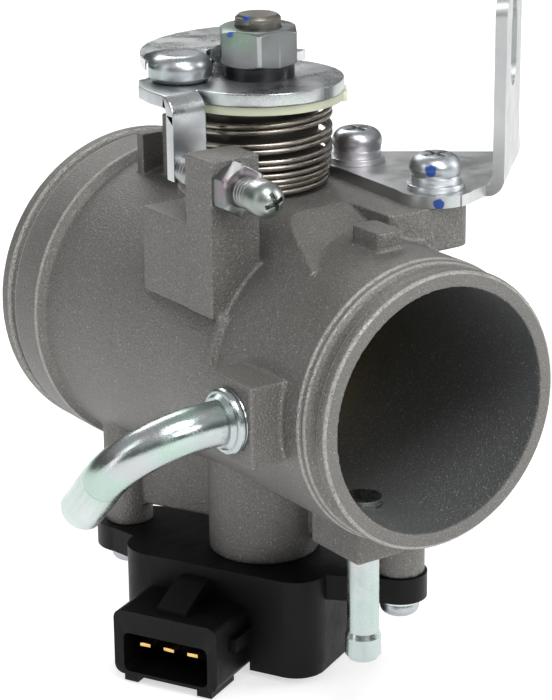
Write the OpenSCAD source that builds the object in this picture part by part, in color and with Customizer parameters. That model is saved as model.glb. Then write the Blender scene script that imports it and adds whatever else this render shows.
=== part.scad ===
// Cable-operated throttle body for a single-cylinder fuel-injected engine.
// The bore runs along Y with the outlet (engine) end at y = 0, and the throttle shaft stands along Z.

/* [Bore and housing] */
// Bore diameter at the throttle plate
bore_d = 42; // [40:0.5:43]
// Distance from the outlet end face to the throttle shaft
outlet_len = 52.2; // [50:0.5:60]
// Distance from the throttle shaft to the inlet end face
inlet_len = 43.6; // [43:0.2:46]
// Outside diameter of the outlet hose spigot
spigot_d = 47.8; // [47.6:0.1:48.2]
// Outside diameter of the inlet clamp bead
inlet_bead_d = 59.4; // [59:0.2:59.4]
// Height of the machined top deck above the bore axis
deck_z = 27.6; // [27.4:0.1:28]

/* [Throttle shaft] */
// Diameter of the shaft in its bearings
shaft_d = 10; // [9.6:0.1:10]
// Diameter of the threaded shaft end
thread_d = 8; // [7.6:0.1:8]
// Full opening angle of the throttle
open_angle = 80; // [75:1:82]

/* [Lever] */
// Thickness of the throttle lever plate
lever_t = 2.3; // [2:0.1:2.5]
// Radius of the round part of the lever
lever_r = 14.8; // [14.5:0.1:15.2]
// Diameter of the domed cable pin head
pin_head_d = 11.1; // [10:0.1:11.2]

/* [Return spring] */
// Wire diameter of each of the two return springs
wire_d = 1.0; // [0.8:0.1:1.0]
// Number of turns of each return spring
spring_turns = 4.6; // [4:0.1:4.8]

/* [Cable bracket] */
// Thickness of the cable bracket sheet
bracket_t = 2; // [1.8:0.1:2.2]
// Width of the slot that takes the cable adjuster
cable_slot_w = 8.2; // [6:0.2:8.4]
// Height of the bracket's top above the bore axis
bracket_top_z = 62; // [60:0.5:64]

/* [Position sensor] */
// Angle of the sensor about the throttle shaft
sensor_angle = 208; // [204:1:210]
// Distance from the shaft to each sensor fixing hole
sensor_hole_r = 28.3; // [28:0.1:28.6]

/* [Pipes] */
// Outside diameter of the bent air pipe
pipe_d = 7.5; // [7:0.1:8]
// Outside diameter of the vacuum nipple
nipple_d = 5.6; // [5:0.1:6]

/* [Hidden] */
$fn = 64;
bore_r = bore_d / 2;
shaft_y = outlet_len - 1.3;
spigot_r = spigot_d / 2;
body_r = 24.4;
cone_r = 28.2;
shaft_r = shaft_d / 2;
thread_r = thread_d / 2;
run = 0.04;

lever_z = 44.7;
lever_top = lever_z + lever_t;
lock_t = 2.2;
nut_z = lever_top + lock_t;
nut_h = 6.5;
shaft_top = nut_z + nut_h + 2.1;
shaft_low = -52;

seal_t = 2.4;
bearing_r = 7;
tower_r = 9;
tower_top = 31.6;
boss_low = -41.3;
boss_low_r = 10.2;

pin_x = -13.2;
pin_y = 4.6;

tab_x0 = -21.9;
tab_w = 6.7;
tab_y = -6.5;
tab_low = 32.4;
stop_x = -19.3;
stop_z = 34.2;
post_y0 = -20.5;
post_y1 = -12.7;
post_x0 = -23.7;
post_x1 = -14;
post_top = 39.2;

coil_r = 12.4;
coil_r_low = 11.7;
coil_z0 = deck_z + 0.2 + wire_d / 2;
coil_z1 = 42.1;

screw_a = [18.3, -26.6];
screw_b = [18.8, -3.4];
bend_near = [28.2, -33.1];
bend_angle = 43.4;
bend_len = 24.4;

pipe_y = -35.2;
pipe_z = 0.2;
pipe_r = pipe_d / 2;
pipe_face_x = -30.3;
pipe_wall = 0.8;
pipe_bend_x = -35.7;
pipe_bend_r = 13.2;
pipe_lean = 45;
pipe_tail = 10.4;

nipple_x = -3.2;
nipple_y = -35;
nipple_r = nipple_d / 2;
nipple_low = -49.8;
nipple_face = -29.6;

sensor_top = boss_low;
terminals = [-11.9, -7, -2.1];
sensor_low = -60;
ear_t = 4.8;
ear_r = [6.2, 5];
sensor_holes = [-sensor_hole_r - 0.7, sensor_hole_r - 0.7];

// The modules below work about the crossing of shaft and bore; this moves them to the row's origin,
// which lies on the bore axis in the middle of the outlet lip.
module at_shaft() {
    translate([0, shaft_y, 0]) children();
}

// Turns a shape that stands along Z so that it lies along the bore.
module along_bore() {
    rotate([-90, 0, 0]) children();
}

function arc(cx, cy, r, a0, a1, n = 10) =
    [for (i = [0 : n]) [cx + r * cos(a0 + (a1 - a0) * i / n), cy + r * sin(a0 + (a1 - a0) * i / n)]];

// Outline of a rectangle with round corners.
module round_rect(x0, y0, x1, y1, r) {
    polygon(concat(arc(x1 - r, y1 - r, r, 0, 90), arc(x0 + r, y1 - r, r, 90, 180),
                   arc(x0 + r, y0 + r, r, 180, 270), arc(x1 - r, y0 + r, r, 270, 360)));
}

// Box between two corners.
module block(a, b) {
    translate(a) cube(b - a);
}

// Hexagon nut or bolt head with both faces chamfered, standing on z = 0.
module hex_nut(af, h, hole_r) {
    corner_r = af / sqrt(3);
    difference() {
        intersection() {
            cylinder(r = corner_r, h = h, $fn = 6);
            cylinder(r1 = af / 2 * 0.97, r2 = af / 2 * 0.97 + h * 1.73, h = h);
            cylinder(r1 = af / 2 * 0.97 + h * 1.73, r2 = af / 2 * 0.97, h = h);
        }
        translate([0, 0, -1]) cylinder(r = hole_r, h = h + 2);
    }
}

// Pan head screw pointing down, its head standing on z = 0, with a cross recess.
module pan_screw(head_r, head_h, shank_r, length) {
    slot_l = head_r * 1.1;
    slot_w = head_r * 0.22;
    difference() {
        union() {
            rotate_extrude() polygon(concat([[0, 0], [head_r * 0.94, 0], [head_r, head_h * 0.3]],
                arc(head_r - head_h * 0.62, head_h * 0.38, head_h * 0.62, 0, 78, 8), [[0, head_h]]));
            translate([0, 0, -length]) cylinder(r = shank_r, h = length + 0.1);
        }
        for (a = [0, 90]) rotate([0, 0, a])
            translate([-slot_l / 2, -slot_w / 2, head_h * 0.42]) cube([slot_l, slot_w, head_h]);
    }
}

// ---------------------------------------------------------------- housing

// Outer skin of the bore casting: outlet bead, neck, barrel, flare, clamp band and inlet bead.
module barrel_skin() {
    o = -outlet_len;
    e = inlet_len;
    along_bore() rotate_extrude() polygon([
        [0, o], [spigot_r - 0.6, o], [spigot_r, o + 0.6], [spigot_r, o + 2], [spigot_r - 0.7, o + 2.8],
        [spigot_r - 0.7, o + 4.6], [spigot_r + 0.1, o + 5.3], [body_r - 0.4, o + 6.2], [body_r, o + 6.6],
        [body_r, -4], [cone_r, e - 14.6], [29.7, e - 13.4], [29.7, e - 5.6], [28.4, e - 4.9], [28.4, e - 3.7],
        [inlet_bead_d / 2, e - 3], [inlet_bead_d / 2, e - 0.8], [inlet_bead_d / 2 - 0.8, e], [0, e]]);
}

// The air way: straight to the plate, then opening towards the inlet.
module air_way() {
    along_bore() rotate_extrude() polygon([[0, -outlet_len - 1], [bore_r, -outlet_len - 1], [bore_r, 12],
        [26.4, inlet_len - 1], [27, inlet_len + 1], [0, inlet_len + 1]]);
}

// Stop wall on the left flank with the idle stop post and the wide-open stop post.
module stop_wall() {
    wide_x0 = tab_x0 + 0.6;
    block([post_x0, post_y0, 12], [post_x1, post_y1, post_top]);
    block([post_x0 + 0.3, post_y1 - 1, 12], [post_x1 + 1.5, 1.8, deck_z - 0.6]);
    block([-10, 23, 14], [-4.4, 25.2, 33.4]);
    intersection() {
        along_bore() cylinder(r = body_r + 1, h = 100, center = true);
        block([-30, post_y0 - 0.8, 2], [-16, post_y0 + 0.8, 12.5]);
    }
    rotate([0, 0, -open_angle]) block([wide_x0, -3.9, 16], [wide_x0 + 5.6, 1.6, 37.5]);
}

// Flat deck, spring seat, bracket pad and the small corner lug on top of the barrel.
module top_deck() {
    translate([0, 0, 12]) cylinder(r = 14.6, h = deck_z - 12);
    intersection() {
        translate([0, -33.4, 0]) rotate([90, 0, 0]) mirror([0, 0, 1]) linear_extrude(height = 29)
            polygon(concat([[12, 12], [12, deck_z]], arc(-4.6, deck_z - 7, 7, 90, 142, 8), [[-17.6, 14], [-14, 12]]));
        translate([-30, 0, 0]) rotate([90, 0, 90]) linear_extrude(height = 60)
            polygon([[-40, 10], [-40, 20], [-33.4, 21.6], [-19, deck_z], [10, deck_z], [10, 10]]);
    }
    linear_extrude(height = deck_z) difference() {
        round_rect(4, -31.4, 22.6, 4, 2.4);
        translate([-20, -50]) square([25, 60]);
    }
    translate([0, 0, 14]) linear_extrude(height = deck_z - 14) round_rect(-3, -39, 2.2, -31, 0.9);
}

// Under side of the bracket pad, sloping from the pad's outer edge down to the barrel.
module pad_relief() {
    translate([0, -40, 0]) rotate([90, 0, 0]) mirror([0, 0, 1])
        linear_extrude(height = 50) polygon([[40, -2], [13.6, -2], [13.6, 19.6], [40, 19.6]]);
}

module housing_bosses() {
    top_deck();
    stop_wall();
    cylinder(r = tower_r, h = tower_top);
    translate([0, 0, boss_low]) cylinder(r = boss_low_r, h = 30);
    block([pipe_face_x, pipe_y - 6, -6.8], [-14, pipe_y + 6.2, 7.1]);
    block([-8.2, -40.2, nipple_face], [1.7, -26.6, -16]);
    rotate([0, 0, sensor_angle]) for (s = sensor_holes)
        translate([0, s, boss_low]) cylinder(r = 4.5, h = 30);
    rotate([0, 0, sensor_angle]) block([-1.6, sensor_holes[0], boss_low + 4], [1.6, sensor_holes[1], -14]);
}

module housing() {
    color([0.44, 0.43, 0.41]) at_shaft() difference() {
        union() {
            barrel_skin();
            difference() {
                housing_bosses();
                pad_relief();
            }
        }
        air_way();
        // shaft bore, bearing pockets and the pocket round the retaining ring
        translate([0, 0, -60]) cylinder(r = shaft_r + 0.3, h = 120);
        translate([0, 0, 22]) cylinder(r = bearing_r, h = 20);
        translate([0, 0, boss_low - 1]) cylinder(r = bearing_r, h = 20.3);
        translate([0, 0, boss_low - 1]) cylinder(r = 8.2, h = 6);
        // idle stop screw
        translate([stop_x, 0, stop_z]) rotate([90, 0, 0]) translate([0, 0, 5]) cylinder(r = 2.5 + run, h = 30);
        // bracket screws
        for (p = [screw_a, screw_b]) translate([p[0], p[1], deck_z - 9]) cylinder(r = 2.5 + run, h = 10);
        // pipe, nipple and sensor screws
        translate([pipe_face_x - 1, pipe_y, pipe_z]) rotate([0, 90, 0]) cylinder(r = pipe_r, h = 8);
        translate([pipe_face_x, pipe_y, pipe_z]) rotate([0, 90, 0]) cylinder(r = 2.4, h = 14);
        translate([nipple_x, nipple_y, -40]) cylinder(r = nipple_r + 0.37, h = 22);
        rotate([0, 0, sensor_angle]) for (s = sensor_holes)
            translate([0, s, boss_low - 1]) cylinder(r = 2 + run, h = 11);
    }
}

// ---------------------------------------------------------------- shaft and plate

module throttle_shaft() {
    flat = 3.25;
    color([0.62, 0.62, 0.6]) at_shaft() difference() {
        union() {
            translate([0, 0, -44]) cylinder(r = shaft_r, h = lever_z + 44);
            cylinder(r = thread_r, h = shaft_top - 0.6);
            translate([0, 0, shaft_top - 0.6]) cylinder(r1 = thread_r, r2 = thread_r - 0.6, h = 0.6);
            translate([0, 0, shaft_low]) cylinder(r = 3, h = 10);
        }
        // double-D end for the lever
        for (s = [-1, 1]) translate([s * (flat + 5), 0, lever_z + 10]) cube([10, 20, 20], center = true);
        // slot for the plate, and the ring groove
        block([-10, -0.8, -bore_r - 0.2], [10, 0.8, bore_r + 0.2]);
        // flat where the plate screw heads bear
        block([-10, -12, -14], [10, -3.4, 14]);
        translate([0, 0, -38]) difference() {
            cylinder(r = 8, h = 1.1);
            cylinder(r = 4.3, h = 1.1);
        }
        // screw holes through the shaft
        for (z = [-8.5, 8.5]) translate([0, 0, z]) rotate([90, 0, 0]) cylinder(r = 1.75 + run, h = 20, center = true);
        // drive tang for the sensor rotor
        for (s = [-1, 1]) translate([0, s * 6.2, shaft_low + 3.5]) cube([10, 8, 9], center = true);
    }
}

module throttle_plate() {
    color([0.74, 0.66, 0.42]) at_shaft() difference() {
        along_bore() translate([0, 0, -0.75]) cylinder(r = bore_r - 0.12, h = 1.5, $fn = 96);
        for (z = [-8.5, 8.5]) translate([0, 0, z]) rotate([90, 0, 0]) cylinder(r = 1.75 + run, h = 9, center = true);
    }
}

module plate_screws() {
    color([0.6, 0.6, 0.58]) at_shaft() for (z = [-8.5, 8.5])
        translate([0, -3.4, z]) rotate([90, 0, 0]) pan_screw(3, 1.7, 1.75, 7.6);
}

module needle_bearing(z) {
    color([0.7, 0.7, 0.7]) at_shaft() translate([0, 0, z]) difference() {
        cylinder(r = bearing_r, h = 7);
        translate([0, 0, -1]) cylinder(r = shaft_r + run, h = 9);
    }
}

module upper_bearing() {
    needle_bearing(22);
}

module lower_bearing() {
    needle_bearing(-29);
}

module lip_seal(z) {
    color([0.12, 0.12, 0.12]) at_shaft() translate([0, 0, z]) difference() {
        cylinder(r = bearing_r, h = seal_t);
        translate([0, 0, -1]) cylinder(r = shaft_r + run, h = seal_t + 2);
    }
}

module upper_shaft_seal() {
    lip_seal(29.1);
}

module lower_shaft_seal() {
    lip_seal(-31.5);
}

module shaft_retaining_ring() {
    color([0.25, 0.25, 0.27]) at_shaft() translate([0, 0, -37.95]) difference() {
        cylinder(r = 7, h = 1);
        translate([0, 0, -1]) cylinder(r = 4.4, h = 3);
        translate([-1.2, 0, -1]) cube([2.4, 10, 3]);
    }
}

// ---------------------------------------------------------------- return springs

module lower_spring_bush() {
    color([0.85, 0.85, 0.72]) at_shaft() difference() {
        union() {
            translate([0, 0, deck_z]) cylinder(r = 10.6, h = 5.2);
        }
        translate([0, 0, deck_z - 1]) cylinder(r = tower_r + 0.05, h = 9);
    }
}

module upper_spring_bush() {
    flange_r = 14.9;
    color([0.86, 0.87, 0.74]) at_shaft() difference() {
        union() {
            translate([0, 0, lever_z - 1.6]) cylinder(r = flange_r, h = 1.5);
            translate([0, 0, 33.6]) cylinder(r = 10.4, h = 10);
            rotate([0, 0, -34]) block([13, -3, lever_z - 1.9], [15.3, 3, lever_z - 0.2]);
        }
        translate([0, 0, 30]) cylinder(r = shaft_r + run, h = 20);
        translate([pin_x, pin_y, 40]) cylinder(r = 5, h = 8);
    }
}

// Coil of round wire as a swept tube; the radius grows from r0 to r1 over the given turns.
module coil(r0, r1, z0, z1, turns, start) {
    sides = 8;
    steps = round(turns * 20);
    wire_r = wire_d / 2;
    pts = [for (i = [0 : steps]) for (k = [0 : sides - 1])
        let (f = i / steps, a = start + 360 * turns * f, r = r0 + (r1 - r0) * f, b = 360 * k / sides)
        [(r + wire_r * cos(b)) * cos(a), (r + wire_r * cos(b)) * sin(a), z0 + (z1 - z0) * f + wire_r * sin(b)]];
    wall = [for (i = [0 : steps - 1]) for (k = [0 : sides - 1])
        let (a = i * sides + k, b = i * sides + (k + 1) % sides) [a, a + sides, b + sides, b]];
    low = [[for (k = [0 : sides - 1]) k]];
    high = [[for (k = [sides - 1 : -1 : 0]) steps * sides + k]];
    polyhedron(points = pts, faces = concat(low, wall, high));
}

module return_spring_main() {
    color([0.5, 0.46, 0.42]) at_shaft() coil(coil_r_low, coil_r, coil_z0, coil_z1 - 1.1, spring_turns, 150);
}

module return_spring_second() {
    color([0.5, 0.46, 0.42]) at_shaft() coil(coil_r_low, coil_r, coil_z0 + 1.1, coil_z1, spring_turns, 150);
}

// ---------------------------------------------------------------- lever stack

// Hole that fits the double-D end of the shaft.
module double_d(clear) {
    intersection() {
        circle(r = thread_r + clear);
        square([2 * (3.25 + clear), 20], center = true);
    }
}

module throttle_lever() {
    bend_r = 3.3;
    bend_y = tab_y + bend_r;
    color([0.75, 0.76, 0.76]) at_shaft() union() {
        difference() {
            translate([0, 0, lever_z]) linear_extrude(height = lever_t) difference() {
                union() {
                    translate([-0.3, -0.6]) circle(r = lever_r);
                    translate([pin_x + 0.3, pin_y]) circle(r = 6.7);
                    polygon([[-8, 9.4], [-18.6, 9.6], [-21.2, 5.4], [tab_x0, 1.2], [tab_x0, bend_y],
                             [tab_x0 + tab_w, bend_y], [-12.2, -4.6], [-8, -6]]);
                }
                double_d(run);
                translate([pin_x, pin_y]) circle(r = 3 + run);
                translate([8.6, 9.2]) circle(r = 1);
            }
        }
        // tab: a quarter bend and the leg that meets the stop screw
        translate([tab_x0, 0, 0]) rotate([90, 0, 90]) linear_extrude(height = tab_w) union() {
            intersection() {
                difference() {
                    translate([bend_y, lever_top - bend_r]) circle(r = bend_r);
                    translate([bend_y, lever_top - bend_r]) circle(r = bend_r - lever_t);
                }
                translate([tab_y - 1, lever_top - bend_r]) square([bend_r + 1, bend_r + 1]);
            }
            translate([tab_y, tab_low]) square([lever_t, lever_top - bend_r - tab_low]);
            translate([bend_y, lever_z]) square([1.5, lever_t]);
        }
    }
}

// Crescent that keeps the cable in place: a foot on the lever behind the nut, and a raised finger.
module cable_guard() {
    t = 1.8;
    raise = 2.5;
    foot_z = lever_top;
    color([0.78, 0.79, 0.8]) at_shaft() union() {
        difference() {
            translate([0, 0, foot_z]) linear_extrude(height = t)
                polygon(concat(arc(0, 0, 15.2, 22, 78), arc(0, 0, 8.2, 132, 22)));
            translate([8.6, 9.2, foot_z - 1]) cylinder(r = 1, h = 4);
        }
        translate([0, 0, foot_z + 0.3]) linear_extrude(height = t + raise - 0.6)
            polygon(concat(arc(0, 0, 14.9, 72, 82, 4), arc(0, 0, 8.6, 130, 120, 4)));
        translate([0, 0, foot_z + raise]) linear_extrude(height = t) difference() {
            polygon(concat(arc(2.8, -1, 23.5, 68, 165, 16), arc(pin_x, pin_y, 6.2, 170, 10, 14),
                           arc(0, 0, 8.6, 134, 90, 8)));
            circle(r = 8);
        }
    }
}

module cable_pin() {
    r = pin_head_d / 2;
    head_h = 4.7;
    color([0.8, 0.8, 0.8]) at_shaft() translate([pin_x, pin_y, 0]) union() {
        translate([0, 0, lever_top + 0.1]) rotate_extrude() polygon(concat([[0, 0], [r - 0.9, 0], [r, 0.9]],
            arc(r - 2.4, head_h - 2.4, 2.4, 0, 90, 9), [[0, head_h]]));
        translate([0, 0, lever_z - 0.2]) cylinder(r = 3, h = lever_t + 0.5);
        translate([0, 0, lever_z - 1.4]) cylinder(r = 4.2, h = 1.3);
    }
}

module lever_lock_washer() {
    color([0.13, 0.13, 0.14]) at_shaft() translate([0, 0, lever_top]) difference() {
        cylinder(r = 6.3, h = lock_t);
        translate([0, 0, -1]) cylinder(r = thread_r + 0.1, h = lock_t + 2);
        rotate([0, 0, 100]) translate([0, -0.25, -1]) cube([9, 0.5, lock_t + 2]);
    }
}

module lever_nut() {
    color([0.7, 0.72, 0.68]) at_shaft() translate([0, 0, nut_z]) rotate([0, 0, 58.5])
        hex_nut(13, nut_h, thread_r + 0.02);
}

// ---------------------------------------------------------------- idle stop

module idle_stop_screw() {
    tip_y = tab_y - 0.06;
    head_y = -27.6;
    color([0.78, 0.78, 0.76]) at_shaft() translate([stop_x, 0, stop_z]) rotate([90, 0, 0]) union() {
        translate([0, 0, -tip_y]) cylinder(r = 2.5, h = tip_y - head_y + 0.2);
        translate([0, 0, -head_y]) difference() {
            rotate_extrude() polygon(concat([[0, 0], [2.9, 0], [3.1, 0.4]], arc(0.1, 2.4, 3, 0, 80, 9), [[0, 5.4]]));
            for (a = [0, 90]) rotate([0, 0, a + 20]) translate([-1.8, -0.4, 3.4]) cube([3.6, 0.8, 3]);
        }
    }
}

module idle_stop_locknut() {
    color([0.72, 0.74, 0.72]) at_shaft() translate([stop_x, post_y0, stop_z]) rotate([90, 0, 0])
        rotate([0, 0, 90]) hex_nut(8, 3.4, 2.5 + 0.02);
}

// ---------------------------------------------------------------- cable bracket

// Outline of the upright leg, s along the bend and z upwards, with the open cable slot between two horns.
module upright_outline() {
    r = cable_slot_w / 2;
    mid = 11;
    difference() {
        polygon(concat([[0, deck_z - 1], [bend_len, deck_z - 1], [bend_len, deck_z + 3], [22, deck_z + 9]],
            arc(22 - 3.4, bracket_top_z - 3.4, 3.4, 0, 90, 8), arc(3.4, bracket_top_z - 3.4, 3.4, 90, 180, 8)));
        translate([mid, bracket_top_z - 13]) circle(r = r);
        translate([mid - r, bracket_top_z - 13]) square([2 * r, 6]);
        translate([mid, bracket_top_z - 7]) circle(r = r);
        translate([mid - 2.9, bracket_top_z - 7]) square([5.8, 10]);
    }
}

module cable_bracket() {
    bend_r = bracket_t + 1;
    color([0.76, 0.77, 0.78]) at_shaft() union() {
        translate([0, 0, deck_z]) linear_extrude(height = bracket_t) difference() {
            union() {
                translate(screw_a) circle(r = 6.8);
                translate(screw_b) circle(r = 6.1);
                polygon([[11.8, -26.8], [13.1, -3.6], [19.1, 2.6], [24, 1],
                    bend_near + bend_len * [cos(bend_angle), sin(bend_angle)] - 3.1 * [sin(bend_angle), -cos(bend_angle)],
                    bend_near - 3.1 * [sin(bend_angle), -cos(bend_angle)], [18.6, -33.6]]);
            }
            translate(screw_a) circle(r = 2.8);
            translate(screw_b) circle(r = 2.8);
        }
        intersection() {
            translate([bend_near[0], bend_near[1], 0]) rotate([0, 0, bend_angle]) union() {
                rotate([90, 0, 90]) linear_extrude(height = bend_len) intersection() {
                    difference() {
                        translate([bend_r, deck_z + bend_r]) circle(r = bend_r);
                        translate([bend_r, deck_z + bend_r]) circle(r = bend_r - bracket_t);
                    }
                    translate([-1, deck_z - 1]) square([bend_r + 1, bend_r + 1]);
                }
                block([0, 0, deck_z + bend_r], [bend_len, bracket_t, bracket_top_z]);
                block([0, bend_r, deck_z], [bend_len, bend_r + 0.6, deck_z + bracket_t]);
            }
            translate([bend_near[0], bend_near[1], 0]) rotate([0, 0, bend_angle]) rotate([90, 0, 0])
                translate([0, 0, -6]) linear_extrude(height = 12) upright_outline();
        }
    }
}

module bracket_screws() {
    top = deck_z + bracket_t + 2.4;
    color([0.78, 0.79, 0.8]) at_shaft() for (p = [screw_a, screw_b])
        translate([p[0], p[1], top]) pan_screw(4.5, 3.6, 2.5, top - deck_z + 7);
}

module bracket_spring_washers() {
    color([0.7, 0.71, 0.72]) at_shaft() for (p = [screw_a, screw_b])
        translate([p[0], p[1], deck_z + bracket_t + 1]) difference() {
            cylinder(r = 4.3, h = 1.4);
            translate([0, 0, -1]) cylinder(r = 2.6, h = 4);
            rotate([0, 0, 30]) translate([0, -0.2, -1]) cube([6, 0.4, 4]);
        }
}

module bracket_flat_washers() {
    color([0.76, 0.77, 0.78]) at_shaft() for (p = [screw_a, screw_b])
        translate([p[0], p[1], deck_z + bracket_t]) difference() {
            cylinder(r = 5, h = 1);
            translate([0, 0, -1]) cylinder(r = 2.7, h = 4);
        }
}

// ---------------------------------------------------------------- pipes

// Tube wall as a flat ring, thinned on both sides by thin.
module tube_ring(thin) {
    difference() {
        circle(r = pipe_r - thin);
        circle(r = pipe_r - pipe_wall + thin);
    }
}

// The pipe leaves its boss straight, takes a quarter bend in a plane that leans back, and ends in a short tail.
module air_pipe() {
    straight = -23.6 - pipe_bend_x;
    color([0.72, 0.75, 0.7]) at_shaft() translate([pipe_bend_x, pipe_y, pipe_z]) union() {
        rotate([0, 90, 0]) linear_extrude(height = straight) tube_ring(0);
        rotate([pipe_lean, 0, 0]) {
            translate([0, 0, -pipe_bend_r]) rotate([90, 0, 0]) rotate([0, 0, 90])
                rotate_extrude(angle = 90, $fn = 96) translate([pipe_bend_r, 0]) tube_ring(0.02);
            translate([-pipe_bend_r, 0, -pipe_bend_r - pipe_tail]) linear_extrude(height = pipe_tail) tube_ring(0);
        }
        translate([pipe_face_x - pipe_bend_x, 0, 0]) rotate([0, -90, 0]) rotate_extrude() polygon(concat(
            [[pipe_r - 0.4, 0], [5.2, 0]], arc(4.7, 0.9, 0.9, -60, 90, 6), [[4.2, 2.6], [pipe_r - 0.4, 2.6]]));
    }
}

module vacuum_nipple() {
    bore = 1.6;
    barb_r = 3.15;
    color([0.78, 0.8, 0.76]) at_shaft() translate([nipple_x, nipple_y, 0]) difference() {
        union() {
            translate([0, 0, nipple_low + 5]) cylinder(r = nipple_r, h = nipple_face - nipple_low - 4.9);
            translate([0, 0, nipple_face]) cylinder(r = nipple_r + 0.35, h = -19.6 - nipple_face);
            translate([0, 0, nipple_low]) rotate_extrude() polygon([[0, 0], [2.6, 0], [barb_r, 0.8], [barb_r, 4.2],
                [nipple_r, 5.2], [0, 5.2]]);
        }
        translate([0, 0, nipple_low - 1]) cylinder(r = bore, h = 40);
    }
}

// ---------------------------------------------------------------- position sensor

// The sensor modules work in a frame turned so that +X leaves through the connector's mouth.
module at_sensor() {
    at_shaft() rotate([0, 0, sensor_angle]) children();
}

module sensor_body_outline() {
    round_rect(-14.5, -23.6, 14.4, 16.8, 6);
}

module sensor_housing() {
    mouth_x = 25.9;
    color([0.1, 0.1, 0.1]) at_sensor() difference() {
        union() {
            translate([0, 0, sensor_low + 1.6]) linear_extrude(height = sensor_top - sensor_low - 1.6)
                sensor_body_outline();
            translate([0, 0, sensor_top - ear_t]) linear_extrude(height = ear_t) union() {
                for (i = [0, 1]) translate([0, sensor_holes[i]]) circle(r = ear_r[i]);
                polygon([[-ear_r[0], sensor_holes[0]], [ear_r[0], sensor_holes[0]], [9, -20], [9, 14],
                         [ear_r[1], sensor_holes[1]], [-ear_r[1], sensor_holes[1]], [-9, 14], [-9, -20]]);
            }
            // connector shroud with its two feet and side rib
            translate([10, 0, 0]) rotate([90, 0, 90]) linear_extrude(height = mouth_x - 10)
                round_rect(-17.4, sensor_low, 3.8, sensor_low + 12.6, 1.8);
            block([17, -15.6, sensor_low - 1.4], [mouth_x - 0.4, -12.8, sensor_low + 1]);
            block([17, -0.6, sensor_low - 1.4], [mouth_x - 0.4, 2.4, sensor_low + 1]);
            // latch ramp on top of the shroud
            translate([0, -9.6, 0]) rotate([90, 0, 0]) mirror([0, 0, 1]) linear_extrude(height = 6)
                polygon([[13, sensor_low + 12], [13, sensor_low + 16.2], [16.5, sensor_low + 16.2],
                         [23.5, sensor_low + 13.4], [23.5, sensor_low + 12]]);
            block([14, 3, sensor_low + 6.2], [21, 5, sensor_low + 8.8]);
        }
        // connector cavity
        translate([16, 0, 0]) rotate([90, 0, 90]) linear_extrude(height = 12)
            round_rect(-15.4, sensor_low + 0.7, 1.8, sensor_low + 8.3, 1.2);
        for (s = terminals) block([11, s - 1.12, sensor_low + 5.33], [17, s + 1.12, sensor_low + 6.07]);
        // rotor well from the top, board pocket and cover recess from below
        translate([0, 0, sensor_top - 8]) cylinder(r = 7.3, h = 10);
        translate([0, 0, sensor_top - 1.6]) difference() {
            cylinder(r = 10.1, h = 3);
            translate([0, 0, -1]) cylinder(r = 8.3, h = 5);
        }
        translate([0, 0, sensor_low]) linear_extrude(height = 11.6) round_rect(-12, -18, 11.6, 14.4, 4);
        for (s = sensor_holes) translate([0, s, -80]) cylinder(r = 2.3, h = 60);
    }
}

module sensor_cover() {
    color([0.13, 0.13, 0.13]) at_sensor() translate([0, 0, sensor_low - 0.4]) linear_extrude(height = 2)
        difference() {
            round_rect(-14.1, -23.2, 14, 16.4, 5.6);
            translate([9.9, -17.6]) square([10, 21.6]);
        }
}

module sensor_rotor() {
    color([0.9, 0.88, 0.8]) at_sensor() difference() {
        union() {
            translate([0, 0, sensor_top - 7.8]) cylinder(r = 7, h = 7.4);
            translate([0, 0, sensor_top - 12.4]) cylinder(r = 4, h = 5);
            translate([0, 0, sensor_top - 13.2]) block([-2, -9, 0], [2, 0, 1]);
        }
        translate([0, 0, sensor_top - 10.8]) rotate([0, 0, -sensor_angle]) intersection() {
            cylinder(r = 3.05, h = 14);
            block([-5, -2.25, -1], [5, 2.25, 20]);
        }
        translate([0, 0, sensor_top - 3.6]) cylinder(r = shaft_r + 0.1, h = 6);
    }
}

module sensor_track_board() {
    color([0.2, 0.35, 0.22]) at_sensor() translate([0, 0, sensor_low + 3.2]) linear_extrude(height = 1.2)
        round_rect(-11.6, -17.6, 11.2, 14, 3.6);
}

module sensor_terminals() {
    color([0.85, 0.68, 0.32]) at_sensor() for (s = terminals)
        block([11.3, s - 1.1, sensor_low + 5.35], [24.2, s + 1.1, sensor_low + 6.05]);
}

module sensor_seal() {
    color([0.16, 0.14, 0.13]) at_sensor() translate([0, 0, sensor_top - 0.76])
        rotate_extrude() translate([9.2, 0]) circle(r = 0.75, $fn = 24);
}

module sensor_screws() {
    color([0.78, 0.79, 0.8]) at_sensor() for (s = sensor_holes)
        translate([0, s, sensor_top - ear_t - 0.8]) rotate([180, 0, 0])
            pan_screw(3.6, 2.7, 2, ear_t + 8);
}

module sensor_washers() {
    color([0.74, 0.75, 0.76]) at_sensor() for (s = sensor_holes)
        translate([0, s, sensor_top - ear_t - 0.8]) difference() {
            cylinder(r = 4, h = 0.8);
            translate([0, 0, -1]) cylinder(r = 2.15, h = 3);
        }
}

housing();
throttle_shaft();
throttle_plate();
plate_screws();
upper_bearing();
lower_bearing();
upper_shaft_seal();
lower_shaft_seal();
shaft_retaining_ring();
lower_spring_bush();
upper_spring_bush();
return_spring_main();
return_spring_second();
throttle_lever();
cable_guard();
cable_pin();
lever_lock_washer();
lever_nut();
idle_stop_screw();
idle_stop_locknut();
cable_bracket();
bracket_screws();
bracket_spring_washers();
bracket_flat_washers();
air_pipe();
vacuum_nipple();
sensor_housing();
sensor_cover();
sensor_rotor();
sensor_track_board();
sensor_terminals();
sensor_seal();
sensor_screws();
sensor_washers();
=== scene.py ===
import math

import bmesh
import bpy
from mathutils import Matrix, Vector


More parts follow.
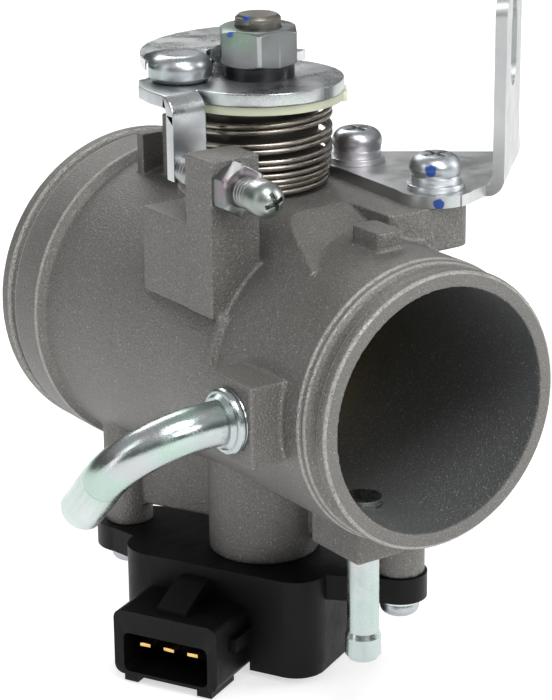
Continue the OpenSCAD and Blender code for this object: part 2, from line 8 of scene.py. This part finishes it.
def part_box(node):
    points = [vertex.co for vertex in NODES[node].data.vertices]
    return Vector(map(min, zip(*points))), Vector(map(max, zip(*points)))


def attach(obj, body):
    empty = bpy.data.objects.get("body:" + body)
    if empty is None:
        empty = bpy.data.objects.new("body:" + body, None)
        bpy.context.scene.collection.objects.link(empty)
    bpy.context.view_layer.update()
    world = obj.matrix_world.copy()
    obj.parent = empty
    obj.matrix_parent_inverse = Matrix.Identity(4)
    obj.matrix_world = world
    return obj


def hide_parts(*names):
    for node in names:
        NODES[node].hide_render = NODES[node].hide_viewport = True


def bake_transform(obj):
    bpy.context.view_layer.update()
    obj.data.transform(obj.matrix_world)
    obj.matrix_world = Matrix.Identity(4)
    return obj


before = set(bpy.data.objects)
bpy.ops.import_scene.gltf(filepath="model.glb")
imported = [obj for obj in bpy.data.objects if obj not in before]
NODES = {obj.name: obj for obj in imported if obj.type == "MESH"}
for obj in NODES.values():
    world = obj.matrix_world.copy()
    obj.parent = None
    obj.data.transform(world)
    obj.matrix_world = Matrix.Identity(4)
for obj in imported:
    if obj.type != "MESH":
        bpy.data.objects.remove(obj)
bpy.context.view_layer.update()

MM = 0.001
shaft_low, shaft_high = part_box("throttle_shaft")
SHAFT_Y = (shaft_low.y + shaft_high.y) / 2


# ---------------------------------------------------------------- node helpers


class Mat:
    """A material and short ways of adding nodes to it. Lengths are in metres."""

    def __init__(self, name):
        self.material = bpy.data.materials.new(name)
        self.material.use_nodes = True
        self.tree = self.material.node_tree
        self.tree.nodes.clear()
        self.out = self.add("ShaderNodeOutputMaterial")
        self.bsdf = self.add("ShaderNodeBsdfPrincipled")
        self.tree.links.new(self.bsdf.outputs[0], self.out.inputs["Surface"])
        self.coords = self.add("ShaderNodeTexCoord").outputs["Object"]
        self.normal = None

    def add(self, kind, **settings):
        node = self.tree.nodes.new(kind)
        for key, value in settings.items():
            setattr(node, key, value)
        return node

    def put(self, socket, value):
        if isinstance(value, bpy.types.NodeSocket):
            self.tree.links.new(value, socket)
        else:
            socket.default_value = value

    def put_color(self, socket, value):
        self.put(socket, value if isinstance(value, bpy.types.NodeSocket) else (*value, 1.0))

    def noise(self, scale, detail=2.0, rough=0.5, vector=None, distortion=0.0):
        node = self.add("ShaderNodeTexNoise")
        self.put(node.inputs["Vector"], vector if vector is not None else self.coords)
        self.put(node.inputs["Scale"], scale)
        self.put(node.inputs["Detail"], detail)
        self.put(node.inputs["Roughness"], rough)
        self.put(node.inputs["Distortion"], distortion)
        return node.outputs["Fac"]

    def cells(self, scale):
        node = self.add("ShaderNodeTexVoronoi")
        self.put(node.inputs["Vector"], self.coords)
        self.put(node.inputs["Scale"], scale)
        return node.outputs["Distance"]

    def ramp(self, fac, low, high, a=0.0, b=1.0):
        """Runs smoothly from a at low to b at high."""
        node = self.add("ShaderNodeMapRange", interpolation_type="SMOOTHSTEP")
        self.put(node.inputs["Value"], fac)
        for key, value in (("From Min", low), ("From Max", high), ("To Min", a), ("To Max", b)):
            self.put(node.inputs[key], value)
        return node.outputs[0]

    def math(self, operation, a, b=0.0):
        node = self.add("ShaderNodeMath", operation=operation)
        self.put(node.inputs[0], a)
        self.put(node.inputs[1], b)
        return node.outputs[0]

    def plus(self, a, b):
        return self.math("ADD", a, b)

    def times(self, a, b):
        return self.math("MULTIPLY", a, b)

    def mix(self, fac, a, b):
        """Colour a where fac is 0 and colour b where it is 1."""
        node = self.add("ShaderNodeMix", data_type="RGBA", blend_type="MIX")
        self.put(node.inputs[0], fac)
        self.put_color(node.inputs[6], a)
        self.put_color(node.inputs[7], b)
        return node.outputs[2]

    def stretched(self, x, y, z):
        """Coordinates for a noise of scale 1, with its own scale on each axis."""
        node = self.add("ShaderNodeMapping")
        self.put(node.inputs["Vector"], self.coords)
        self.put(node.inputs["Scale"], (x, y, z))
        return node.outputs[0]

    def part_of(self, axis):
        node = self.add("ShaderNodeSeparateXYZ")
        self.put(node.inputs[0], self.coords)
        return node.outputs["XYZ".index(axis)]

    def bump(self, height, distance, strength):
        node = self.add("ShaderNodeBump")
        self.put(node.inputs["Height"], height)
        self.put(node.inputs["Distance"], distance)
        self.put(node.inputs["Strength"], strength)
        if self.normal is not None:
            self.put(node.inputs["Normal"], self.normal)
        self.normal = node.outputs[0]

    def edges(self, low, high):
        """0 on flat ground and 1 on convex edges, where highlights are painted."""
        return self.ramp(self.add("ShaderNodeNewGeometry").outputs["Pointiness"], low, high)

    def near(self, point, radius):
        """1 within a ragged blot about a point."""
        ragged = 0.35
        node = self.add("ShaderNodeVectorMath", operation="DISTANCE")
        self.put(node.inputs[0], self.coords)
        self.put(node.inputs[1], point)
        wobble = self.times(self.noise(900, 3), radius * ragged * 2)
        distance = self.plus(node.outputs["Value"], wobble)
        return self.ramp(distance, radius * (1 + ragged), radius * (0.8 + ragged))

    def finish(self, color, metallic, roughness, specular=0.5):
        self.put_color(self.bsdf.inputs["Base Color"], color)
        self.put(self.bsdf.inputs["Metallic"], metallic)
        self.put(self.bsdf.inputs["Roughness"], roughness)
        self.put(self.bsdf.inputs["Specular IOR Level"], specular)
        if self.normal is not None:
            self.put(self.bsdf.inputs["Normal"], self.normal)
        return self.material


# ---------------------------------------------------------------- materials

# the turned edges, which get painted highlight lines, lie at these places along the bore, in millimetres,
# and only outside these radii
OUTLET_EDGES, OUTLET_SKIN = (-1.1, 0.9, 4.1, 5.3), (0.0231, 0.0233)
INLET_EDGES, INLET_SKIN = (81.2, 88.8, 91.4, 94.0), (0.0282, 0.0285)
# each painted highlight line is full within the second distance of its place and fades out by the first, in
# metres
EDGE_LINE = (0.00042, 0.00012)

# the air way is dark inside this radius, from the outlet to this far along
AIR_WAY_SKIN, AIR_WAY_DARK = (0.02125, 0.0209), (0.045, 0.04)

BLUE_PAINT = (0.015, 0.06, 0.26)

# nylon gets painted shade below the upper bush's flange, on the sleeve under the lever; the flange stays
# clean
SLEEVE_SHADE = (0.035, 0.03, 0.025)
FLANGE_RIM, SHADE_FADE = 0.0017, 0.0008


def edge_lines(m, along, places):
    """1 on thin lines round the bore at each place, where the painted highlights and ridges go."""
    total = 0.0
    for place in places:
        off = m.math("ABSOLUTE", m.math("SUBTRACT", along, place * MM))
        total = m.plus(m.ramp(off, *EDGE_LINE), total)
    return total


def cast_aluminium():
    m = Mat("cast_aluminium")
    grain = m.noise(3100, 3, 0.7)
    pits = m.cells(2700)
    clouds = m.noise(55, 4, 0.6)
    stain = m.noise(14, 3, 0.6, distortion=0.6)
    x, y, z = (m.part_of(axis) for axis in "XYZ")
    radius = m.math("SQRT", m.plus(m.times(x, x), m.times(z, z)))
    # the turned edges of the lip, the grooves and the clamp band get a painted highlight, a slight ridge
    # and a smoother finish
    outlet_edge_highlight = m.times(edge_lines(m, y, OUTLET_EDGES), m.ramp(radius, *OUTLET_SKIN))
    inlet_edge_highlight = m.times(edge_lines(m, y, INLET_EDGES), m.ramp(radius, *INLET_SKIN))
    edge_ridge_and_highlight = m.times(m.plus(outlet_edge_highlight, inlet_edge_highlight), m.ramp(grain, 0.3, 0.55, 0.35, 1.0))
    m.bump(edge_ridge_and_highlight, 0.00025, 0.5)
    m.bump(clouds, 0.00008, 0.5)
    m.bump(pits, 0.0001, 0.9)
    m.bump(grain, 0.00012, 1.0)
    # bright specks of the grain: painted glints that stand in for the casting's sparkle
    painted_glint = m.ramp(grain, 0.57, 0.7)
    hollow = m.ramp(grain, 0.45, 0.34)
    color = m.mix(clouds, (0.13, 0.126, 0.118), (0.18, 0.175, 0.166))
    color = m.mix(m.ramp(stain, 0.45, 0.75, 0.0, 0.3), color, (0.11, 0.104, 0.096))
    color = m.mix(m.times(hollow, 0.7), color, (0.05, 0.048, 0.045))
    color = m.mix(m.times(painted_glint, 0.6), color, (0.55, 0.53, 0.5))
    # painted highlight along the turned edges
    color = m.mix(m.times(edge_ridge_and_highlight, 0.6), color, (0.5, 0.49, 0.46))
    dark = m.times(m.ramp(radius, *AIR_WAY_SKIN), m.ramp(y, *AIR_WAY_DARK))
    # the air way's dark grey, with painted glints on it
    air_way = m.mix(painted_glint, (0.09, 0.095, 0.097), (0.42, 0.43, 0.43))
    color = m.mix(dark, color, air_way)
    rough = m.ramp(m.plus(grain, m.times(edge_ridge_and_highlight, -0.3)), 0.2, 0.8, 0.4, 0.62)
    metal = m.math("SUBTRACT", 0.6, m.times(dark, 0.3))
    return m.finish(color, metal, rough)


def zinc(name, base=(0.6, 0.62, 0.64), tint=0.35, rough=0.24, brushed=None, dots=()):
    """Zinc plating with faint green and pink clouds, a painted highlight on its convex edges, and dots of
    blue paint.
    """
    m = Mat(name)
    clouds = m.noise(160, 3, 0.55, distortion=0.4)
    hue = m.noise(70, 2, 0.5, distortion=1.2)
    fine = m.noise(3200, 2, 0.6)
    green, pink, slate = (tuple(b * k for b, k in zip(base, shares)) for shares in
                          ((0.82, 1.05, 0.86), (1.12, 0.88, 0.95), (0.6, 0.66, 0.74)))
    color = m.mix(m.ramp(hue, 0.5, 0.35, 0.0, tint), base, green)
    color = m.mix(m.ramp(hue, 0.52, 0.66, 0.0, tint), color, pink)
    color = m.mix(m.ramp(clouds, 0.45, 0.8, 0.0, 0.3), color, slate)
    # painted highlight on convex edges
    color = m.mix(m.times(m.edges(0.53, 0.62), 0.3), color, (0.85, 0.86, 0.86))
    if brushed:
        streak = m.noise(1.0, 4, 0.6, vector=m.stretched(*brushed))
        m.bump(streak, 0.00002, 0.35)
    m.bump(fine, 0.00003, 0.4)
    m.bump(clouds, 0.00005, 0.25)
    roughness = m.ramp(m.plus(clouds, m.times(fine, 0.4)), 0.4, 1.0, rough, rough + 0.22)
    metal = 1.0
    for point, radius in dots:
        blot = m.near(point, radius)
        color = m.mix(blot, color, BLUE_PAINT)
        metal = m.math("SUBTRACT", metal, m.times(blot, 0.9))
    return m.finish(color, metal, roughness)


def spring_steel():
    m = Mat("spring_steel")
    streak = m.noise(1.0, 3, 0.6, vector=m.stretched(400, 400, 2600))
    color = m.mix(m.noise(120, 3, 0.6), (0.2, 0.18, 0.155), (0.36, 0.33, 0.29))
    color = m.mix(m.ramp(streak, 0.5, 0.75, 0.0, 0.5), color, (0.5, 0.47, 0.43))
    m.bump(streak, 0.00003, 0.4)
    return m.finish(color, 1.0, m.ramp(streak, 0.3, 0.7, 0.24, 0.42))


def black_steel():
    m = Mat("black_steel")
    clouds = m.noise(300, 3, 0.6)
    color = m.mix(clouds, (0.012, 0.012, 0.014), (0.03, 0.03, 0.034))
    # painted highlight on convex edges
    color = m.mix(m.times(m.edges(0.52, 0.6), 0.4), color, (0.12, 0.12, 0.13))
    m.bump(m.noise(2400, 2), 0.00004, 0.4)
    return m.finish(color, 0.75, m.ramp(clouds, 0.3, 0.7, 0.22, 0.4))


def plastic(name, dark, light, rough, grain=1700, depth=0.00005, specular=0.4, shaded_below=None):
    m = Mat(name)
    clouds = m.noise(90, 3, 0.55)
    fine = m.noise(grain, 3, 0.6)
    scuff = m.noise(1.0, 4, 0.7, vector=m.stretched(150, 1400, 500))
    # colour of the painted highlight on convex edges
    edge_highlight = tuple(min(1.0, c * 1.6 + 0.004) for c in light)
    scuffed = tuple(min(1.0, c * 1.5 + 0.003) for c in light)
    color = m.mix(clouds, dark, light)
    # painted highlight on convex edges
    color = m.mix(m.times(m.edges(0.52, 0.6), 0.35), color, edge_highlight)
    color = m.mix(m.ramp(scuff, 0.66, 0.8, 0.0, 0.25), color, scuffed)
    # painted shade below a height, with a ragged edge
    if shaded_below is not None:
        level = m.plus(m.part_of("Z"), m.times(clouds, 0.0006))
        color = m.mix(m.ramp(level, shaded_below, shaded_below - SHADE_FADE), color, SLEEVE_SHADE)
    m.bump(fine, depth, 0.6)
    roughness = m.ramp(m.plus(clouds, scuff), 0.6, 1.4, rough, rough + 0.2)
    return m.finish(color, 0.0, roughness, specular=specular)


def gold():
    m = Mat("gold_flash")
    clouds = m.noise(500, 3, 0.6)
    color = m.mix(clouds, (0.62, 0.36, 0.1), (0.95, 0.66, 0.25))
    m.bump(m.noise(2600, 2), 0.00003, 0.4)
    return m.finish(color, 1.0, m.ramp(clouds, 0.3, 0.7, 0.2, 0.36))


def brass():
    m = Mat("brass_sheet")
    rolled = m.noise(1.0, 4, 0.6, vector=m.stretched(60, 900, 1800))
    color = m.mix(m.noise(90, 3, 0.6), (0.34, 0.27, 0.13), (0.52, 0.42, 0.2))
    m.bump(rolled, 0.00003, 0.5)
    return m.finish(color, 0.9, m.ramp(rolled, 0.3, 0.7, 0.32, 0.5))


def dot(x, y, z, radius):
    """A paint dot at a point given in millimetres about the crossing of shaft and bore."""
    return (x * MM, SHAFT_Y + y * MM, z * MM), radius


CAST = cast_aluminium()
ZINC = zinc("zinc_parts")
SHEET = zinc("zinc_sheet", base=(0.34, 0.35, 0.355), tint=0.2, rough=0.28, brushed=(300, 1500, 300),
             dots=(dot(14.7, -32.3, 28.4, 0.0011),))
LEVER = zinc("zinc_lever", base=(0.46, 0.475, 0.485), tint=0.2, rough=0.2, brushed=(1400, 250, 300))
TUBE = zinc("zinc_tube", base=(0.42, 0.48, 0.47), tint=0.45, rough=0.16)
SCREWS = zinc("zinc_screws", base=(0.4, 0.42, 0.44), tint=0.4, rough=0.24,
              dots=(dot(15.4, -29.2, 33.5, 0.0012),))
NUT = zinc("zinc_nut", base=(0.2, 0.212, 0.212), tint=0.9, rough=0.26,
           dots=(dot(-7.2, -1.6, 55.2, 0.001),))
SHAFT = zinc("shaft_steel", base=(0.17, 0.155, 0.14), tint=0.1, rough=0.34,
             dots=(dot(-3.2, -1.2, 57.6, 0.0009),))
STOP = zinc("zinc_stop_screw", base=(0.3, 0.31, 0.31), tint=0.4, rough=0.26)
SPRING = spring_steel()
BLACK_STEEL = black_steel()
NYLON = plastic("nylon", (0.4, 0.41, 0.29), (0.52, 0.54, 0.42), 0.35, 900, 0.00003,
                shaded_below=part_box("upper_spring_bush")[1].z - FLANGE_RIM)
SENSOR = plastic("sensor_plastic", (0.0015, 0.0015, 0.0016), (0.003, 0.003, 0.0032), 0.36, 1500,
                 0.00004, specular=0.16)
RUBBER = plastic("seal_rubber", (0.012, 0.012, 0.012), (0.02, 0.02, 0.02), 0.55)
BOARD = plastic("board_laminate", (0.03, 0.1, 0.05), (0.05, 0.14, 0.07), 0.3)
GOLD = gold()
BRASS = brass()

# each node's material, and the width in millimetres of the small round on its edges (0 for none)
LOOK = {
    "housing": (CAST, 0),
    "throttle_shaft": (SHAFT, 0.15),
    "throttle_plate": (BRASS, 0.1),
    "plate_screws": (ZINC, 0.08),
    "upper_bearing": (ZINC, 0),
    "lower_bearing": (ZINC, 0),
    "upper_shaft_seal": (RUBBER, 0),
    "lower_shaft_seal": (RUBBER, 0),
    "shaft_retaining_ring": (BLACK_STEEL, 0),
    "lower_spring_bush": (NYLON, 0.2),
    "upper_spring_bush": (NYLON, 0.2),
    "return_spring_main": (SPRING, 0),
    "return_spring_second": (SPRING, 0),
    "throttle_lever": (LEVER, 0.35),
    "cable_guard": (LEVER, 0.3),
    "cable_pin": (SCREWS, 0.12),
    "lever_lock_washer": (BLACK_STEEL, 0.15),
    "lever_nut": (NUT, 0.12),
    "idle_stop_screw": (STOP, 0.08),
    "idle_stop_locknut": (NUT, 0.1),
    "cable_bracket": (SHEET, 0.3),
    "bracket_screws": (SCREWS, 0.1),
    "bracket_spring_washers": (ZINC, 0.12),
    "bracket_flat_washers": (ZINC, 0.12),
    "air_pipe": (TUBE, 0),
    "vacuum_nipple": (TUBE, 0),
    "sensor_housing": (SENSOR, 0.35),
    "sensor_cover": (SENSOR, 0.3),
    "sensor_rotor": (NYLON, 0),
    "sensor_track_board": (BOARD, 0),
    "sensor_terminals": (GOLD, 0.1),
    "sensor_seal": (RUBBER, 0),
    "sensor_screws": (SCREWS, 0.1),
    "sensor_washers": (ZINC, 0.1),
}

WELD_DISTANCE = 1e-6
ROUNDED_FROM, HARD_FROM = math.radians(32), math.radians(40)
SKIN_VOXEL = 0.00032


def smooth(obj):
    for polygon in obj.data.polygons:
        polygon.use_smooth = True


def round_edges(obj, width):
    """Joins the faces, rounds the sharp edges a little and shades the rest smooth."""
    weld = obj.modifiers.new("weld", "WELD")
    weld.merge_threshold = WELD_DISTANCE
    bevel = obj.modifiers.new("edge_round", "BEVEL")
    bevel.width = width * MM
    bevel.segments = 2
    bevel.limit_method = "ANGLE"
    bevel.angle_limit = ROUNDED_FROM
    bevel.use_clamp_overlap = True
    split = obj.modifiers.new("hard_edges", "EDGE_SPLIT")
    split.split_angle = HARD_FROM
    even = obj.modifiers.new("even_shading", "WEIGHTED_NORMAL")
    even.keep_sharp = True


def cast_skin(obj):
    """Gives a casting its soft corners and root fillets: an even fine skin, then relaxed."""
    remesh = obj.modifiers.new("skin", "REMESH")
    remesh.mode = "VOXEL"
    remesh.voxel_size = SKIN_VOXEL
    remesh.use_smooth_shade = True
    relax = obj.modifiers.new("relax", "SMOOTH")
    relax.factor = 0.5
    relax.iterations = 3


for name, obj in NODES.items():
    material, width = LOOK[name]
    obj.data.materials.clear()
    obj.data.materials.append(material)
    if name == "housing":
        cast_skin(obj)
        continue
    if width:
        round_edges(obj, width)
    smooth(obj)


# ---------------------------------------------------------------- added pieces


def new_object(name, data):
    obj = bpy.data.objects.new(name, data)
    bpy.context.scene.collection.objects.link(obj)
    return obj


def mesh_object(name, mesh):
    data = bpy.data.meshes.new(name)
    mesh.to_mesh(data)
    mesh.free()
    return new_object(name, data)


def skin(mesh, rings):
    """Joins a row of equal rings of vertices and closes both ends."""
    sides = len(rings[0])
    for a, b in zip(rings, rings[1:]):
        for k in range(sides):
            mesh.faces.new((a[k], a[(k + 1) % sides], b[(k + 1) % sides], b[k]))
    mesh.faces.new(list(reversed(rings[0])))
    mesh.faces.new(rings[-1])
    bmesh.ops.recalc_face_normals(mesh, faces=mesh.faces)


def make(name, mesh, material, replaced=()):
    obj = mesh_object(name, mesh)
    obj.data.materials.append(material)
    smooth(obj)
    if replaced:
        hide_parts(*replaced)
    return obj


# ---------------------------------------------------------------- return springs

# lengths in metres, angles in degrees; the coils are at their full radius after 1 / WIDE_FROM of the height
WIRE_R, WIRE_SIDES = 0.0005, 14
SPRING_R_LOW, SPRING_R_HIGH = 0.0117, 0.0124
SPRING_TURNS, STEPS_PER_TURN = 4.6, 48
SPRING_START = 150
WIDE_FROM = 2.2


def tube(points, radius):
    """A round bar swept along points, with closed ends."""
    mesh = bmesh.new()
    rings = []
    for i, p in enumerate(points):
        ahead = points[min(i + 1, len(points) - 1)] - points[max(i - 1, 0)]
        along = ahead.normalized()
        side = along.cross(Vector((0, 0, 1)))
        side.normalize()
        top = side.cross(along)
        turns = (2 * math.pi * k / WIRE_SIDES for k in range(WIRE_SIDES))
        rings.append([mesh.verts.new(p + radius * (math.cos(a) * side + math.sin(a) * top)) for a in turns])
    skin(mesh, rings)
    return mesh


def spring_points(low, high):
    """The coil's centre line: close and narrow near the lower seat, wider above."""
    steps = int(SPRING_TURNS * STEPS_PER_TURN)
    points = []
    for i in range(steps + 1):
        f = i / steps
        a = math.radians(SPRING_START + 360 * SPRING_TURNS * f)
        rise = 0.4 * f * f + 0.6 * f
        r = SPRING_R_LOW + (SPRING_R_HIGH - SPRING_R_LOW) * min(1.0, f * WIDE_FROM)
        points.append(Vector((r * math.cos(a), SHAFT_Y + r * math.sin(a), low + (high - low) * rise)))
    return points


for name in ("return_spring_main", "return_spring_second"):
    low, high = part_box(name)
    wire = tube(spring_points(low.z + WIRE_R, high.z - WIRE_R), WIRE_R)
    piece = make("coil_" + name, wire, SPRING, (name,))
    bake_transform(piece)


# ---------------------------------------------------------------- threads

THREAD_SIDES, THREAD_STEPS = 48, 8

# the root lies this far inside the rod, so that only the ridge shows
THREAD_SUNK = 0.0001

# radius of the rod, pitch, and height of the ridge
M8_THREAD = (0.004, 0.00125, 0.00014)
M5_THREAD = (0.0025, 0.0008, 0.00012)

# how far each thread starts or ends inside the nut, past the screw's head or before its tip
IN_SHAFT_NUT, IN_LOCKNUT = 0.0004, 0.001
PAST_HEAD, BEFORE_TIP = 0.0052, 0.003
TIP_THREAD_LENGTH = 0.0026


def thread(name, body, material, sizes, origin, along, length):
    """A screw thread as a ridge that winds round a rod, from an end point along an axis."""
    radius, pitch, depth = sizes
    origin, along = Vector(origin), Vector(along)
    side = along.orthogonal().normalized()
    other = along.cross(side)
    steps = int(length / pitch * THREAD_STEPS)
    mesh = bmesh.new()
    rings = []
    for i in range(steps + 1):
        centre = origin + along * (pitch * i / THREAD_STEPS)
        fade = min(1.0, i / THREAD_STEPS, (steps - i) / THREAD_STEPS)
        ring = []
        for k in range(THREAD_SIDES):
            turn = (i / THREAD_STEPS - k / THREAD_SIDES) % 1.0
            crest = 1 - abs(2 * turn - 1)
            r = radius - THREAD_SUNK + (depth + THREAD_SUNK) * crest * fade
            a = 2 * math.pi * k / THREAD_SIDES
            ring.append(mesh.verts.new(centre + r * (math.cos(a) * side + math.sin(a) * other)))
        rings.append(ring)
    skin(mesh, rings)
    piece = make(name, mesh, material)
    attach(piece, body)


nut_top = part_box("lever_nut")[1].z
thread("shaft_end_thread", "throttle", SHAFT, M8_THREAD,
       (0, SHAFT_Y, nut_top - IN_SHAFT_NUT), (0, 0, 1), shaft_high.z - nut_top)
screw_low, screw_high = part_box("idle_stop_screw")
lock_low, lock_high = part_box("idle_stop_locknut")
screw_x, screw_z = (lock_low.x + lock_high.x) / 2, (lock_low.z + lock_high.z) / 2
thread("stop_screw_thread", "stop_screw", STOP, M5_THREAD,
       (screw_x, screw_low.y + PAST_HEAD, screw_z), (0, 1, 0),
       lock_low.y + IN_LOCKNUT - screw_low.y - PAST_HEAD)
thread("stop_tip_thread", "stop_screw", STOP, M5_THREAD,
       (screw_x, screw_high.y - BEFORE_TIP, screw_z), (0, 1, 0), TIP_THREAD_LENGTH)


# ---------------------------------------------------------------- floor

FLOOR_REACH, FLOOR_GAP = 4.0, 0.0004
FLOOR_GLOW = 0.6


def floor():
    mesh = bmesh.new()
    corners = ((-1, -1), (1, -1), (1, 1), (-1, 1))
    mesh.faces.new([mesh.verts.new((x * FLOOR_REACH, y * FLOOR_REACH, 0)) for x, y in corners])
    obj = mesh_object("floor", mesh)
    obj.location.z = min(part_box(name)[0].z for name in NODES) - FLOOR_GAP
    m = Mat("pale_floor")
    color = m.mix(m.noise(3, 2), (0.58, 0.58, 0.58), (0.62, 0.62, 0.62))
    obj.data.materials.append(m.finish(color, 0.0, 0.6))
    m.put_color(m.bsdf.inputs["Emission Color"], (1, 1, 1))
    m.put(m.bsdf.inputs["Emission Strength"], FLOOR_GLOW)


floor()


# ---------------------------------------------------------------- light

# place, width and height in metres, power in watts
LIGHTS = {
    "key_light": ((-0.15, -0.4, 0.8), 0.4, 0.4, 6.0),
    "left_strip": ((-0.8, 0.1, 0.3), 0.2, 0.8, 1.1),
    "right_strip": ((0.75, -0.4, 0.35), 0.25, 0.6, 3.4),
    "back_light": ((0.15, 0.75, 0.6), 0.6, 0.3, 3.0),
    "bore_light": ((-0.05, -0.9, 0.5), 0.45, 0.25, 3.6),
}

# greys of the surroundings: at and below the horizon, at heights between, and overhead
SKY_LOW, SKY_BETWEEN, SKY_TOP = 0.5, ((0.08, 0.16), (0.3, 0.3), (0.55, 0.9)), 0.8
SKY_STRENGTH = 0.6


def grey(level):
    return (level, level, level, 1)


def area_light(name, place, width, height, power):
    """A soft light that faces the crossing of shaft and bore."""
    data = bpy.data.lights.new(name, "AREA")
    data.shape = "RECTANGLE"
    data.size = width
    data.size_y = height
    data.energy = power
    obj = new_object(name, data)
    obj.location = place
    obj.rotation_mode = "QUATERNION"
    obj.rotation_quaternion = (Vector((0, SHAFT_Y, 0)) - Vector(place)).to_track_quat("-Z", "Y")


def studio_world():
    """White for the camera's own rays, and graded greys for all others."""
    world = bpy.data.worlds.new("studio")
    world.use_nodes = True
    nodes, link = world.node_tree.nodes, world.node_tree.links.new
    seen, ambient = nodes.new("ShaderNodeBackground"), nodes.new("ShaderNodeBackground")
    seen.inputs["Color"].default_value = grey(1)
    seen.inputs["Strength"].default_value = 1.0
    ambient.inputs["Strength"].default_value = SKY_STRENGTH
    height, tone = nodes.new("ShaderNodeSeparateXYZ"), nodes.new("ShaderNodeValToRGB")
    stops = tone.color_ramp.elements
    stops[0].color, stops[1].color = grey(SKY_LOW), grey(SKY_TOP)
    for position, level in SKY_BETWEEN:
        stops.new(position).color = grey(level)
    link(nodes.new("ShaderNodeTexCoord").outputs["Generated"], height.inputs[0])
    link(height.outputs["Z"], tone.inputs[0])
    link(tone.outputs[0], ambient.inputs["Color"])
    chosen = nodes.new("ShaderNodeMixShader")
    link(nodes.new("ShaderNodeLightPath").outputs["Is Camera Ray"], chosen.inputs[0])
    link(ambient.outputs[0], chosen.inputs[1])
    link(seen.outputs[0], chosen.inputs[2])
    link(chosen.outputs[0], nodes["World Output"].inputs["Surface"])
    return world


for name, settings in LIGHTS.items():
    area_light(name, *settings)
bpy.context.scene.world = studio_world()
bpy.context.scene.view_settings.view_transform = "Standard"


# ---------------------------------------------------------------- camera

# the camera stands back from the crossing of shaft and bore, then moves right and up, in metres
AZIMUTH, ELEVATION, ROLL = math.radians(-34.48), math.radians(18.707), math.radians(-0.599)
DISTANCE, MOVED_RIGHT, MOVED_UP = 0.4338, 0.002564, -0.003337
LENS_MM, SENSOR_MM = 123.79, 36
CLIP = (0.01, 20)


def photo_camera():
    flat = math.cos(ELEVATION)
    back = Vector((math.sin(AZIMUTH) * flat, -math.cos(AZIMUTH) * flat, math.sin(ELEVATION)))
    level = Vector((math.cos(AZIMUTH), math.sin(AZIMUTH), 0))
    upright = back.cross(level)
    right = level * math.cos(ROLL) + upright * math.sin(ROLL)
    up = upright * math.cos(ROLL) - level * math.sin(ROLL)
    camera = bpy.data.cameras.new("photo_camera")
    camera.lens = LENS_MM
    camera.sensor_width = SENSOR_MM
    camera.clip_start, camera.clip_end = CLIP
    view = new_object("photo_camera", camera)
    place = Vector((0, SHAFT_Y, 0)) + back * DISTANCE + right * MOVED_RIGHT + up * MOVED_UP
    view.matrix_world = Matrix.Translation(place) @ Matrix((right, up, back)).transposed().to_4x4()
    return view


bpy.context.scene.camera = photo_camera()
